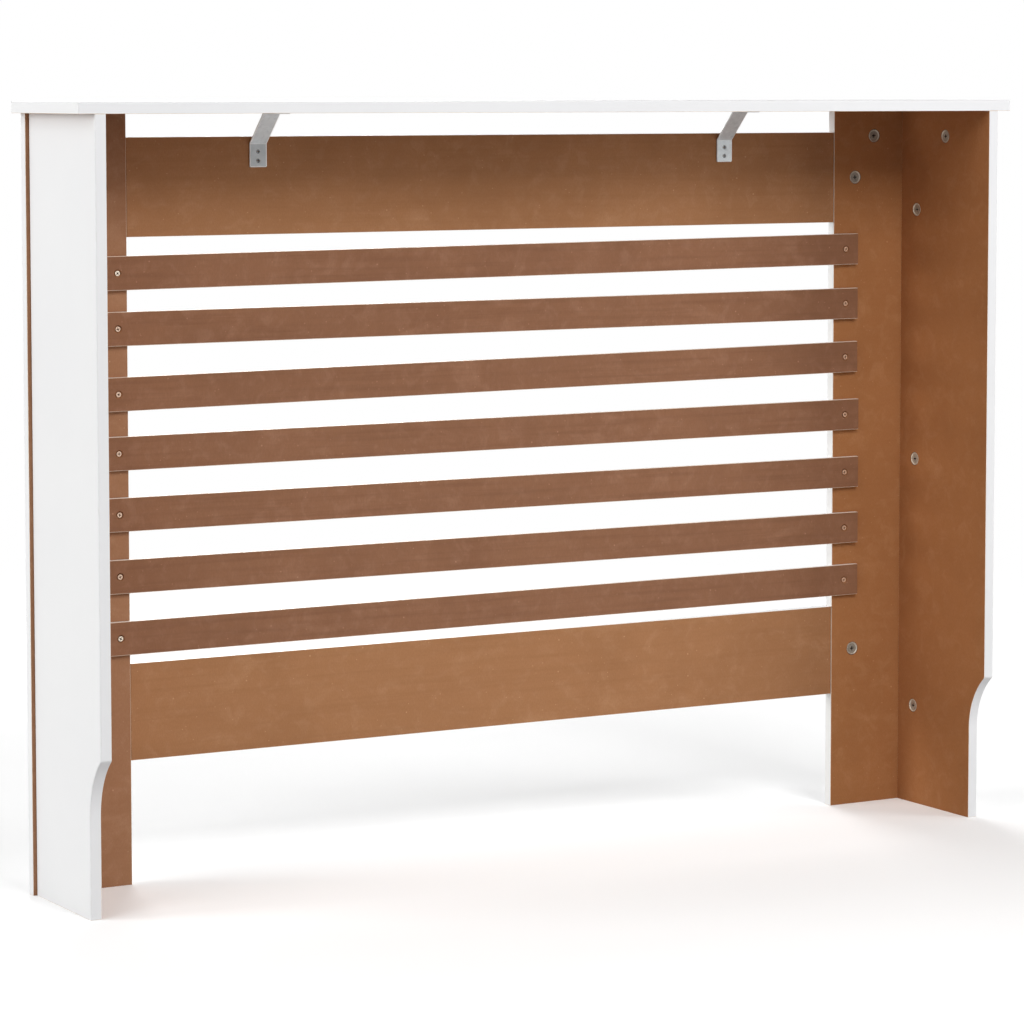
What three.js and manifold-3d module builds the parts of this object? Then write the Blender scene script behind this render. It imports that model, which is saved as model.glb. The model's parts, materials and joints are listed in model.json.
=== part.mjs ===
// A radiator cover cabinet: an open-backed box of 12 mm board that stands over a radiator,
// against the wall. Its front is a frame of two stiles and two rails, closed by a grille of
// slats that are screwed across the back of the stiles. Two side panels and a top board with
// rounded front corners complete it. Cam-and-bolt fittings hold the boards together, and two
// bent steel brackets tie the top board to the top rail.
//
// Millimetres, +Z up. The front faces -Y and the wall side +Y. The origin is on the floor, at
// the middle of the top board's outline. Left and right are as seen from the front (+X right).

import * as THREE from 'three';
import Module from 'manifold-3d';
import { mergeVertices } from 'three/addons/utils/BufferGeometryUtils.js';

// ---------------------------------------------------------------- driving dimensions

// The case
const length = 1120; // top board, end to end
const depth = 190; // top board, front edge to wall
const height = 810; // floor to the top board's upper face
const board = 12; // thickness of every board
const edgeRound = 1.5; // the boards' arrises
const cornerRadius = 25; // the top board's front corners, seen from above
const frontOverhang = 12; // top board past the front frame
const endOverhang = 13; // top board past each stile's outer edge
const sideInset = 4; // side panel's outer face, in from the stile's outer edge

// The front frame
const stileWidth = 110;
const topRailHeight = 102;
const bottomRailHeight = 101;
const ventGap = 25; // air gap between the top rail and the top board
const floorGap = 130; // air gap under the bottom rail

// The cut-out for a skirting board at the foot of each side panel
const skirtingDepth = 28;
const skirtingTop = 163; // where the cut-out leaves the panel's back edge
const skirtingCove = 78; // radius of the cove between there and the straight part

// The grille
const slatCount = 7;
const slatHeight = 35;
const slatThickness = 6;
const slatLap = 28; // how far a slat runs over each stile
const slatScrewInset = 15; // screw to the slat's end
const gapOverSlats = 16; // top rail to the first slat
const gapUnderSlats = 11; // last slat to the bottom rail
// Each slat is screwed on by hand and ends up a little off the even pitch: how far it sits
// above it at its left and at its right screw, from the top slat down.
const slatDrift = [[3, -3], [4, 3], [6, -1], [3, 1], [0, 1], [-1, 0], [2, -1]];
// And how far each one is from the middle, towards the right.
const slatSlide = [-1.5, -1.5, -1.5, -3.5, -3.5, -3.5, -3.5];

// Countersunk screws of the grille
const screwDiameter = 3.5;
const screwLength = 15;
const screwPoint = 3;
const screwHeadDiameter = 7;
const screwHeadHeight = 2;
const screwCross = 4.2; // length of the cross recess
const screwCrossDepth = 1.2;
const screwSunk = 0.2; // head below the slat's face

// Cam-and-bolt fittings
const camDiameter = 14.4;
const camHeight = 9.6;
const camSetback = 29; // cam's centre to the joint
const camTurn = 153; // degrees round the drum from the bolt's line to where its head goes in
const camCross = 6.4; // length of the cross recess for the screwdriver
const camCrossDepth = 1.9;
const camCore = 2; // radius of the core that the bolt's head is drawn towards
const camPull = 0.5; // eccentricity of the track round the core
const boltHeadDiameter = 5.2;
const boltHeadLength = 2.2;
const boltNeckDiameter = 3.2;
const boltShankDiameter = 6;
const boltThreadLength = 9;
const boltThreadDiameter = 5.4;
const boltChamfer = 0.6;
const sideJointInset = 113; // side panel's outer joints to its ends

// Dowels, glued into the rails' ends
const dowelDiameter = 6;
const dowelReach = 14;
const dowelSpacing = 64;

// Bent strip brackets under the top board
const bracketSpacing = 576; // middle to middle
const bracketWidth = 20;
const bracketThickness = 1.5;
const bracketFlange = 25; // length of each screwed flange
const bracketReach = 33; // rail's back face to the top flange
const bracketDrop = 32; // top board's underside to the rail flange
const bracketCorner = 1.5;
const bracketHole = 3.6;
const bracketHoleSpacing = 9.5;
const bracketHoleShift = 1; // each pair of holes, off the flange's middle and towards its end
const pilotDiameter = 2.6; // holes in the boards for the brackets' screws
const pilotDepth = 9;

// Clearances
const clearance = 0.3; // round a fitting, screw or dowel, and at the bottom of its hole
const trackClearance = 0.45; // outside the bolt's head, in the cam's track
const overcut = 1; // how far a cutter runs past the face it opens

// Facets of the round shapes
const boreFacets = 10;
const camFacets = 16;
const turnedFacets = 8;
const pilotFacets = 6;

// ---------------------------------------------------------------- derived places

const underTop = height - board;
const wall = depth / 2;
const frameFront = frontOverhang - depth / 2;
const frameBack = frameFront + board;
const stileOuter = length / 2 - endOverhang;
const stileInner = stileOuter - stileWidth;
const sideOuter = stileOuter - sideInset;
const sideInner = sideOuter - board;
const topRailTop = underTop - ventGap;
const topRailBottom = topRailTop - topRailHeight;
const bottomRailTop = floorGap + bottomRailHeight;
const slatEnd = stileInner + slatLap;
const slatScrewX = slatEnd - slatScrewInset;
const firstSlat = topRailBottom - gapOverSlats - slatHeight / 2;
const lastSlat = bottomRailTop + gapUnderSlats + slatHeight / 2;
const slatPitch = (firstSlat - lastSlat) / (slatCount - 1);

const sides = [{ name: 'left', sign: -1 }, { name: 'right', sign: 1 }];

// ---------------------------------------------------------------- materials

const paint = (colour, roughness, metalness = 0) =>
  new THREE.MeshStandardMaterial({ color: colour, roughness, metalness, flatShading: true });
const whiteBoard = paint(0xf1f1f0, 0.45);
const rawBoard = paint(0x8a5f46, 0.85);
const zincSteel = paint(0xb4b8ba, 0.35, 0.9);
const castZinc = paint(0xa9a49b, 0.4, 0.9);
const screwSteel = paint(0xc6c0b4, 0.35, 0.9);

// ---------------------------------------------------------------- solids

const wasm = await Module();
wasm.setup();

// A closed three.js geometry as a solid. Its seams are merged, and so are the points that a
// lathe leaves on its axis.
function solid(geometry) {
  const shape = geometry.clone();
  shape.deleteAttribute('normal');
  shape.deleteAttribute('uv');
  const merged = mergeVertices(shape);
  const corners = merged.index.array;
  const triangles = [];
  for (let i = 0; i < corners.length; i += 3) {
    const [a, b, c] = [corners[i], corners[i + 1], corners[i + 2]];
    if (a !== b && b !== c && c !== a) triangles.push(a, b, c);
  }
  return new wasm.Manifold(new wasm.Mesh({
    numProp: 3,
    vertProperties: new Float32Array(merged.attributes.position.array),
    triVerts: new Uint32Array(triangles),
  }));
}

function geometryOf(body) {
  const mesh = body.getMesh();
  const geometry = new THREE.BufferGeometry();
  geometry.setAttribute('position', new THREE.BufferAttribute(mesh.vertProperties, 3));
  geometry.setIndex(new THREE.BufferAttribute(mesh.triVerts, 1));
  return geometry;
}

const cut = (body, cutters) => cutters.reduce((rest, cutter) => rest.subtract(cutter), body);

// A matrix that puts the local origin at a place and turns local X and Z to two directions.
function frameAt(place, alongX, alongZ) {
  const x = new THREE.Vector3(...alongX);
  const z = new THREE.Vector3(...alongZ);
  const y = new THREE.Vector3().crossVectors(z, x);
  return new THREE.Matrix4().makeBasis(x, y, z).setPosition(...place);
}

// A round bar from one place along a direction: a bore when it is cut away.
function bar(place, direction, diameter, barLength, facets = boreFacets) {
  const way = new THREE.Vector3(...direction);
  const bore = new THREE.CylinderGeometry(diameter / 2, diameter / 2, barLength, facets);
  bore.applyQuaternion(new THREE.Quaternion().setFromUnitVectors(THREE.Object3D.DEFAULT_UP, way));
  const middle = new THREE.Vector3(...place).addScaledVector(way, barLength / 2);
  return solid(bore.translate(middle.x, middle.y, middle.z));
}

// A bore that opens in a face at one place and runs into the body from there.
function bore(place, direction, diameter, boreDepth, facets = boreFacets) {
  const mouth = place.map((value, axis) => value - direction[axis] * overcut);
  return bar(mouth, direction, diameter, boreDepth + overcut, facets);
}

// An outline extruded to a thickness, with its arrises rounded off inside that outline.
function plate(outline, thickness, round = edgeRound) {
  const geometry = new THREE.ExtrudeGeometry(outline, {
    depth: thickness - 2 * round,
    bevelThickness: round,
    bevelSize: round,
    bevelOffset: -round,
    bevelSegments: 2,
    curveSegments: 4,
  });
  return geometry.translate(0, 0, round);
}

const rectangle = (left, bottom, right, top) => new THREE.Shape([
  new THREE.Vector2(left, bottom),
  new THREE.Vector2(right, bottom),
  new THREE.Vector2(right, top),
  new THREE.Vector2(left, top),
]);

// Turns a shape drawn in Y and Z so that it stands side-on, with its thickness along X.
const sideOn = new THREE.Matrix4().makeBasis(
  new THREE.Vector3(0, 1, 0), new THREE.Vector3(0, 0, 1), new THREE.Vector3(1, 0, 0));

// A board of the front frame, given by its outline seen from the front.
function frameBoard(left, bottom, right, top) {
  const geometry = plate(rectangle(left, bottom, right, top), board);
  return solid(geometry.rotateX(Math.PI / 2).translate(0, frameBack, 0));
}

// ---------------------------------------------------------------- cam-and-bolt joints

// One joint: the cam lies in its board's inner face at a place, and its bolt runs along
// `toward` through that board's edge into the next board.
function joint(name, place, toward, face) {
  return { name, place, toward, face, matrix: frameAt(place, toward, face) };
}

const sideMiddle = (frameBack + wall) / 2;
const stileJoints = ({ name, sign }) => [
  joint(`stile_top_${name}`, [sign * (stileInner + stileOuter) / 2, frameBack, underTop - camSetback],
    [0, 0, 1], [0, 1, 0]),
  ...[['top_rail', (topRailTop + topRailBottom) / 2], ['bottom_rail', floorGap + bottomRailHeight / 2]]
    .map(([rail, z]) => joint(`${rail}_${name}`, [sign * (stileInner + camSetback), frameBack, z],
      [-sign, 0, 0], [0, 1, 0])),
];
const sideJoints = ({ name, sign }) => [
  joint(`side_top_${name}`, [sign * sideInner, sideMiddle, underTop - camSetback],
    [0, 0, 1], [-sign, 0, 0]),
  ...[['upper', underTop - sideJointInset], ['middle', underTop / 2], ['lower', sideJointInset]]
    .map(([level, z]) => joint(`side_${level}_${name}`, [sign * sideInner, frameBack + camSetback, z],
      [0, -1, 0], [-sign, 0, 0])),
];
const joints = sides.flatMap((side) => [...stileJoints(side), ...sideJoints(side)]);

// In the joint's own frame the cam's axis is Z, its mouth is at z = 0, and the bolt's axis
// runs along X at the middle of the board. These are places along that axis.
const boltLine = -board / 2;
const headStart = camCore + camPull + clearance;
const neckStart = headStart + boltHeadLength;
const shankStart = camDiameter / 2 + 2 * clearance;
const camPocketDepth = camHeight + clearance;

// The holes of one joint in both of its boards: cam pocket, bolt bore and thread bore.
function jointHoles({ matrix }) {
  const pocket = bore([0, 0, 0], [0, 0, -1], camDiameter + 2 * clearance, camPocketDepth, camFacets);
  const through = bar([0, 0, boltLine], [1, 0, 0], boltShankDiameter + 2 * clearance, camSetback);
  const thread = bar([camSetback - overcut, 0, boltLine], [1, 0, 0],
    boltThreadDiameter + 2 * clearance, overcut + boltThreadLength + clearance);
  return pocket.add(through).add(thread).transform(matrix.elements);
}

// The cuts that a cam's track is made of: part of a ring round a centre, open to both ends.
function ringPart(centre, inner, outer, fromAngle, toAngle, ringHeight) {
  const outline = new THREE.Shape();
  outline.absarc(centre, 0, outer, fromAngle, toAngle, false);
  outline.absarc(centre, 0, inner, toAngle, fromAngle, true);
  const geometry = new THREE.ExtrudeGeometry(outline, {
    depth: ringHeight, bevelEnabled: false, curveSegments: 4,
  });
  return solid(geometry.translate(0, 0, boltLine - ringHeight / 2));
}

// A cross recess for a screwdriver: two slots that narrow towards their floor.
function crossRecess(across, recessDepth) {
  const arm = across / 4;
  const spread = across / 2 + across / 4 * overcut / recessDepth;
  const slot = new THREE.Shape([
    new THREE.Vector2(-spread, overcut),
    new THREE.Vector2(-across / 4, -recessDepth),
    new THREE.Vector2(across / 4, -recessDepth),
    new THREE.Vector2(spread, overcut),
  ]);
  const geometry = new THREE.ExtrudeGeometry(slot, { depth: arm, bevelEnabled: false });
  geometry.translate(0, 0, -arm / 2).rotateX(Math.PI / 2);
  return solid(geometry).add(solid(geometry.clone().rotateZ(Math.PI / 2)));
}

// The cam: a drum with a track for the bolt's head and a narrower slot for its neck. The head
// goes in at the far end of the track, and a half turn draws it up against the core.
function camGeometry() {
  const radius = camDiameter / 2;
  const headWay = boltHeadDiameter + 2 * clearance;
  const neckWay = boltNeckDiameter + 2 * clearance;
  const trackOuter = Math.hypot(neckStart - camPull, boltHeadDiameter / 2) + trackClearance;
  const turnFrom = -Math.atan2(headWay / 2, headStart - camPull);
  const turnTo = THREE.MathUtils.degToRad(camTurn);
  const drum = bar([0, 0, -camHeight], [0, 0, 1], camDiameter, camHeight, camFacets);
  const track = ringPart(camPull, camCore, trackOuter, turnFrom, turnTo, headWay);
  const slot = ringPart(0, camCore + camPull, radius + overcut, turnFrom, turnTo, neckWay);
  const [x, y] = [Math.cos(turnTo), Math.sin(turnTo)];
  const entry = bar([x * headStart, y * headStart, boltLine], [x, y, 0], headWay, radius, turnedFacets);
  return geometryOf(cut(drum, [track, slot, entry, crossRecess(camCross, camCrossDepth)]));
}

// A turned piece from its profile of [radius, distance along the axis] pairs, axis along Z.
function turned(profile, facets = turnedFacets) {
  return new THREE.LatheGeometry(profile.map(([r, z]) => new THREE.Vector2(r, z)), facets)
    .rotateX(Math.PI / 2);
}

// The bolt: head, neck, plain shank and threaded end, along X from the cam's centre.
function boltGeometry() {
  const end = camSetback + boltThreadLength;
  const [head, neck, shank, thread] =
    [boltHeadDiameter, boltNeckDiameter, boltShankDiameter, boltThreadDiameter].map((d) => d / 2);
  const profile = [
    [0, headStart], [head - boltChamfer, headStart], [head, headStart + boltChamfer],
    [head, neckStart], [neck, neckStart], [neck, shankStart], [shank, shankStart],
    [shank, camSetback], [thread, camSetback], [thread, end - boltChamfer],
    [thread - boltChamfer, end], [0, end],
  ];
  return geometryOf(solid(turned(profile).rotateY(Math.PI / 2).translate(0, 0, boltLine)));
}

// ---------------------------------------------------------------- grille

const slats = slatDrift.slice(0, slatCount).map(([left, right], i) => ({
  number: i + 1,
  z: firstSlat - i * slatPitch + (left + right) / 2,
  tilt: -Math.atan2(right - left, 2 * slatScrewX),
  slide: slatSlide[i],
}));

// A place on a slat's line, at a distance from the cabinet's middle.
function alongSlat(slat, distance, y) {
  return [distance * Math.cos(slat.tilt), y, slat.z - distance * Math.sin(slat.tilt)];
}

// Where a slat's screw goes in at one side, on the slat's back face.
const screwPlace = (slat, sign) => alongSlat(slat, sign * slatScrewX, frameBack + slatThickness);

const screwHole = screwDiameter + 2 * clearance;
const countersink = (screwHeadDiameter - screwDiameter) / (2 * screwHeadHeight);

// The countersink of a slat, which the screw's head sits in with an even gap.
function sinkCutter(place) {
  const wide = screwHeadDiameter / 2 + clearance;
  const narrow = screwHole / 2;
  const profile = [[0, overcut], [wide, overcut], [wide, -screwSunk],
    [narrow, -screwSunk - (wide - narrow) / countersink], [0, -screwSunk - (wide - narrow) / countersink]];
  const geometry = turned(profile.reverse(), boreFacets).rotateX(-Math.PI / 2);
  return solid(geometry.translate(...place));
}

// A slat, about its own middle on the frame's back face. The screws stay in line with those of
// the other slats, so their holes move the other way when it slides.
function slatGeometry(slide) {
  const blank = plate(rectangle(-slatEnd, -slatHeight / 2, slatEnd, slatHeight / 2), slatThickness);
  const holes = sides.flatMap(({ sign }) => {
    const place = [sign * slatScrewX - slide, slatThickness, 0];
    return [bore(place, [0, -1, 0], screwHole, slatThickness + overcut), sinkCutter(place)];
  });
  return geometryOf(cut(solid(blank.rotateX(Math.PI / 2).translate(0, slatThickness, 0)), holes));
}

// The screw, with its head's top at the origin and its point down -Z.
function screwGeometry() {
  const [head, shank] = [screwHeadDiameter / 2, screwDiameter / 2];
  const profile = [[0, -screwLength], [shank, screwPoint - screwLength],
    [shank, -screwHeadHeight], [head, 0], [0, 0]];
  return geometryOf(cut(solid(turned(profile)), [crossRecess(screwCross, screwCrossDepth)]));
}

// ---------------------------------------------------------------- brackets

const bracketLow = underTop - bracketDrop - bracketFlange;
const bracketEnd = bracketReach + bracketFlange;
// Each hole's distance from the flange's free end, and its place as seen from the side.
const holeInsets = [-1, 1].map((side) =>
  bracketFlange / 2 - bracketHoleShift + side * bracketHoleSpacing / 2);
const railScrews = holeInsets.map((inset) => [frameBack, bracketLow + inset]);
const topScrews = holeInsets.map((inset) => [frameBack + bracketEnd - inset, underTop]);

// The pilot holes of one bracket's screws, in the top rail and in the top board.
function bracketPilots(x) {
  return [
    ...railScrews.map(([y, z]) => bore([x, y, z], [0, -1, 0], pilotDiameter, pilotDepth, pilotFacets)),
    ...topScrews.map(([y, z]) => bore([x, y, z], [0, 0, 1], pilotDiameter, pilotDepth, pilotFacets)),
  ];
}

// Side view of the strip: a flange down the rail, a slope, and a flange under the top board,
// kept one thickness wide by offsetting the slope's two bends.
function bracketGeometry() {
  const t = bracketThickness;
  const slope = Math.atan2(bracketDrop, bracketReach);
  const lowBend = t * Math.tan((Math.PI / 2 - slope) / 2);
  const topBend = t * Math.tan(slope / 2);
  const sideView = new THREE.Shape([
    [0, bracketLow],
    [t, bracketLow],
    [t, underTop - bracketDrop - lowBend],
    [bracketReach + topBend, underTop - t],
    [bracketEnd, underTop - t],
    [bracketEnd, underTop],
    [bracketReach, underTop],
    [0, underTop - bracketDrop],
  ].map(([y, z]) => new THREE.Vector2(y, z)));
  const strip = new THREE.ExtrudeGeometry(sideView, { depth: bracketWidth, bevelEnabled: false });
  strip.translate(0, 0, -bracketWidth / 2).applyMatrix4(sideOn);
  const shape = solid(strip.translate(0, frameBack, 0))
    .intersect(roundedEnd(bracketLow, underTop + overcut, frontView))
    .intersect(roundedEnd(-frameBack - bracketEnd, overcut - frameBack, planView));
  const holes = [
    ...railScrews.map(([y, z]) => bore([0, y + t, z], [0, -1, 0], bracketHole, t + overcut, turnedFacets)),
    ...topScrews.map(([y, z]) => bore([0, y, z - t], [0, 0, 1], bracketHole, t + overcut, turnedFacets)),
  ];
  return geometryOf(cut(shape, holes));
}

// A strip's outline with its lower corners rounded, as a long bar seen from one direction.
function roundedEnd(low, high, turn) {
  const [half, r] = [bracketWidth / 2, bracketCorner];
  const outline = new THREE.Shape();
  outline.moveTo(half, high);
  outline.lineTo(-half, high);
  outline.lineTo(-half, low + r);
  outline.absarc(r - half, low + r, r, Math.PI, 1.5 * Math.PI, false);
  outline.absarc(half - r, low + r, r, 1.5 * Math.PI, 2 * Math.PI, false);
  const barLength = 2 * (depth + height);
  const geometry = new THREE.ExtrudeGeometry(outline, {
    depth: barLength, bevelEnabled: false, curveSegments: 2,
  });
  return solid(turn(geometry.translate(0, 0, -barLength / 2)));
}
const frontView = (geometry) => geometry.rotateX(Math.PI / 2);
const planView = (geometry) => geometry.rotateX(Math.PI);

// ---------------------------------------------------------------- boards

const jointBodies = joints.map(jointHoles);
const bracketPlaces = sides.map(({ sign }) => sign * bracketSpacing / 2);
const pilots = bracketPlaces.flatMap((x) => bracketPilots(x));

// The top board: straight at the wall, with rounded front corners.
function topBoard() {
  const [half, front, r] = [length / 2, -depth / 2, cornerRadius];
  const outline = new THREE.Shape();
  outline.moveTo(-half, wall);
  outline.lineTo(-half, front + r);
  outline.absarc(r - half, front + r, r, Math.PI, 1.5 * Math.PI, false);
  outline.absarc(half - r, front + r, r, 1.5 * Math.PI, 2 * Math.PI, false);
  outline.lineTo(half, wall);
  const blank = solid(plate(outline, board).translate(0, 0, underTop));
  return cut(blank, [...jointBodies, ...pilots]);
}

// A side panel. Its skirting cut-out runs straight up and then bends out to the wall on a
// hollow curve, which meets the back edge at a blunt corner.
function sidePanel({ sign }) {
  const back = wall - skirtingDepth;
  const sweep = Math.acos(1 - skirtingDepth / skirtingCove);
  const coveFoot = skirtingTop - skirtingCove * Math.sin(sweep);
  const outline = new THREE.Shape();
  outline.moveTo(frameBack, 0);
  outline.lineTo(back, 0);
  outline.lineTo(back, coveFoot);
  outline.absarc(back + skirtingCove, coveFoot, skirtingCove, Math.PI, Math.PI - sweep, true);
  outline.lineTo(wall, underTop);
  outline.lineTo(frameBack, underTop);
  const blank = plate(outline, board).applyMatrix4(sideOn);
  return cut(solid(blank.translate(sign > 0 ? sideInner : -sideOuter, 0, 0)), jointBodies);
}

const dowelOffsets = [dowelSpacing / 2, -dowelSpacing / 2];

function stile({ sign }) {
  const [left, right] = [sign * stileInner, sign * stileOuter].sort((a, b) => a - b);
  const dowelHoles = [topRailTop - topRailHeight / 2, floorGap + bottomRailHeight / 2]
    .flatMap((z) => dowelOffsets.map((offset) => z + offset))
    .map((z) => bore([sign * stileInner, frameBack + boltLine, z], [sign, 0, 0],
      dowelDiameter + 2 * clearance, dowelReach + clearance));
  const pilotHoles = slats.map((slat) => {
    const [x, , z] = screwPlace(slat, sign);
    const reach = screwLength + screwSunk - slatThickness + clearance;
    return bore([x, frameBack, z], [0, -1, 0], screwHole, reach, turnedFacets);
  });
  return cut(frameBoard(left, 0, right, underTop), [...jointBodies, ...dowelHoles, ...pilotHoles]);
}

// A rail, with the dowels that are glued into its ends.
function rail(bottom, top) {
  const blank = cut(frameBoard(-stileInner, bottom, stileInner, top), [...jointBodies, ...pilots]);
  const dowels = sides.flatMap(({ sign }) => dowelOffsets.map((offset) =>
    bar([sign * (stileInner - dowelReach), frameBack + boltLine, (bottom + top) / 2 + offset],
      [sign, 0, 0], dowelDiameter, 2 * dowelReach)));
  return dowels.reduce((body, dowel) => body.add(dowel), blank);
}

// ---------------------------------------------------------------- the cabinet

const cabinet = new THREE.Group();

function place(parent, name, geometry, material) {
  const mesh = new THREE.Mesh(geometry, material);
  mesh.name = name;
  parent.add(mesh);
  return mesh;
}

place(cabinet, 'top_board', geometryOf(topBoard()), whiteBoard);
place(cabinet, 'top_rail', geometryOf(rail(topRailBottom, topRailTop)), rawBoard);
place(cabinet, 'bottom_rail', geometryOf(rail(floorGap, bottomRailTop)), rawBoard);
for (const side of sides) {
  place(cabinet, `side_panel_${side.name}`, geometryOf(sidePanel(side)), whiteBoard);
  place(cabinet, `stile_${side.name}`, geometryOf(stile(side)), rawBoard);
}

const screwShape = screwGeometry();
for (const slat of slats) {
  const mesh = place(cabinet, `slat_${slat.number}`, slatGeometry(slat.slide), rawBoard);
  mesh.position.set(...alongSlat(slat, slat.slide, frameBack));
  mesh.rotation.y = slat.tilt;
  for (const { name, sign } of sides) {
    const [x, y, z] = screwPlace(slat, sign);
    const screw = place(cabinet, `slat_screw_${slat.number}_${name}`, screwShape, screwSteel);
    screw.position.set(x, y - screwSunk, z);
    screw.rotation.x = -Math.PI / 2;
  }
}

const camShape = camGeometry();
const boltShape = boltGeometry();
for (const { name, matrix } of joints) {
  const fitting = new THREE.Group();
  fitting.applyMatrix4(matrix);
  place(fitting, `cam_${name}`, camShape, castZinc);
  place(fitting, `bolt_${name}`, boltShape, zincSteel);
  cabinet.add(fitting);
}

const bracketShape = bracketGeometry();
sides.forEach(({ name }, i) => {
  place(cabinet, `bracket_${name}`, bracketShape, zincSteel).position.x = bracketPlaces[i];
});

export default cabinet;
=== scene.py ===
"""The finish of a radiator cover cabinet: white-faced fibreboard with raw brown inner faces,
held together by cam fittings, with a grille of seven slats and two zinc-plated brackets."""

import json
import math
import random

import bmesh
import bpy
from mathutils import Matrix, Vector

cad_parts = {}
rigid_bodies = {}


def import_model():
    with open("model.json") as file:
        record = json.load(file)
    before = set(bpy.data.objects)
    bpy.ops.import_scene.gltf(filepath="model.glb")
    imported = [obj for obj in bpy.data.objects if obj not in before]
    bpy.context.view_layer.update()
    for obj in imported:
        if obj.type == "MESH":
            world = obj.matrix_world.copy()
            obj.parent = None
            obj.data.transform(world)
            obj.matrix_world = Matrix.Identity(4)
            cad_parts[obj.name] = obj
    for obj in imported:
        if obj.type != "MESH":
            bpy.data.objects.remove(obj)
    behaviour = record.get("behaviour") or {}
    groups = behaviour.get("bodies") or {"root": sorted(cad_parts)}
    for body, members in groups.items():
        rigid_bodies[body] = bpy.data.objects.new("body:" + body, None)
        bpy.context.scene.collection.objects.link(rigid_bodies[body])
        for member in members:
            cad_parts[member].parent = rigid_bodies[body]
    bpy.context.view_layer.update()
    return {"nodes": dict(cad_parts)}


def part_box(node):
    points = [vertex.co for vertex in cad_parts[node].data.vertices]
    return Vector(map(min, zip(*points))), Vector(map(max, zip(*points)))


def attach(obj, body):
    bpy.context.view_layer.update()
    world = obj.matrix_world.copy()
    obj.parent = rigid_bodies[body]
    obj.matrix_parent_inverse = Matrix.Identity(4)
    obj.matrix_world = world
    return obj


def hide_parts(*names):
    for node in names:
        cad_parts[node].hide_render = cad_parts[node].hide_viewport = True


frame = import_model()

# ------------------------------------------------------------------ sizes, in metres

MM = 0.001
OVERCUT = 1 * MM

# Boards: their arrises, the lips where the facing ends, and the skirting cut-out
FACED_ROUND = 1.5 * MM
SAWN_ROUND = 0.3 * MM
FILM_LIP = 0.35 * MM
SLAT_LIP = 0.45 * MM
STILE_LIP = 0.4 * MM
RAIL_EASE = 1.6 * MM
CORNER_RADIUS = 25 * MM
SKIRTING_DEPTH = 28 * MM
SKIRTING_TOP = 163 * MM
SKIRTING_COVE = 78 * MM
SLAT_LAP = 28 * MM
SLAT_HEIGHT = 35 * MM

# Cam fittings: each cam's drum, its pocket and its track, and its bolt
CAM_RADIUS = 7.2 * MM
CAM_HEIGHT = 9.6 * MM
CAM_SETBACK = 29 * MM
CAM_RIM = 0.5 * MM
CAM_WALL = 1 * MM
CAM_SUNK = 0.8 * MM
CAM_CHAMFER = 0.4 * MM
CAM_CROSS = 5.4 * MM
CAM_CROSS_DEPTH = 3.2 * MM
CAM_POINTER = 2.1 * MM
CAM_POINTER_HALF = 0.9 * MM
CAM_POINTER_DEPTH = 0.5 * MM
CAM_CORE = 2 * MM
CAM_PULL = 0.5 * MM
CAM_TURN = 153
TRACK_GAP = 0.45 * MM
POCKET_GAP = 0.3 * MM
POCKET_MOUTH = 0.5 * MM
BOLT_LINE = -6 * MM
BOLT_HEAD_RADIUS = 2.6 * MM
BOLT_HEAD_LENGTH = 2.2 * MM
BOLT_NECK_RADIUS = 1.6 * MM
BOLT_SHANK_RADIUS = 3 * MM
BOLT_THREAD_RADIUS = 2.7 * MM
BOLT_THREAD_LENGTH = 9 * MM
BOLT_THREAD_DEPTH = 0.6 * MM
BOLT_PITCH = 2 * MM
BOLT_CHAMFER = 0.5 * MM

# Slat screws, in their sinks
SCREW_HEAD_RADIUS = 2.8 * MM
SINK_RADIUS = 4.2 * MM
SINK_LIP = 0.7 * MM
SINK_DEPTH = 9 * MM
SCREW_SHANK_RADIUS = 1.75 * MM
SCREW_HEAD_HEIGHT = 2 * MM
SCREW_LENGTH = 15 * MM
SCREW_SUNK = 0.2 * MM
SCREW_POINT = 2.5 * MM
SCREW_PITCH = 1.5 * MM
SCREW_CROSS = 3.6 * MM
SCREW_CROSS_DEPTH = 1.6 * MM

DOWEL_RADIUS = 3 * MM
DOWEL_LENGTH = 28 * MM
DOWEL_SPACING = 64 * MM
DOWEL_CHAMFER = 1 * MM
DOWEL_FLUTES = 12
DOWEL_FLUTE_DEPTH = 0.06

# Brackets, the bands that carry their painted highlight, and how much darker grey their rail flanges
# are
BRACKET_THICKNESS = 1.5 * MM
BRACKET_FLANGE = 25 * MM
BRACKET_CORNER = 1.5 * MM
BRACKET_BEND = 2.5 * MM
BRACKET_ROUND = 0.7 * MM
BRACKET_HIGHLIGHT_BAND = 1.2 * MM
BRACKET_REACH = 33 * MM
BRACKET_DROP = 32 * MM
BRACKET_HOLE_RADIUS = 1.9 * MM
BRACKET_HOLE_SHIFT = 1 * MM
BRACKET_SCREW_SPACING = 9.5 * MM
BRACKET_SCREW_RADIUS = 2.6 * MM
BRACKET_SCREW_SHANK = 1.5 * MM
BRACKET_SCREW_HEAD = 1.4 * MM
BRACKET_SCREW_LENGTH = 11 * MM
BRACKET_SCREW_CROSS = 3.4 * MM
BRACKET_SCREW_SUNK = 0.1 * MM
FLANGE_DARKENING = {"left": 0.34, "right": 0.56}

SLATS = range(1, 8)
SIDES = ("left", "right")
SHARP_ANGLE = math.radians(31)
SMOOTH_ANGLE = math.radians(30)

# The floor: it fades from one distance to the other, and its brightness as seen, as the light
# it gives back to the cabinet, and as its own faint glow
FLOOR_RADIUS = 2.6
FLOOR_FADE = 0.9
FLOOR_SEEN = 0.95
FLOOR_BOUNCE = 0.55
FLOOR_GLOW = 0.07

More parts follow.
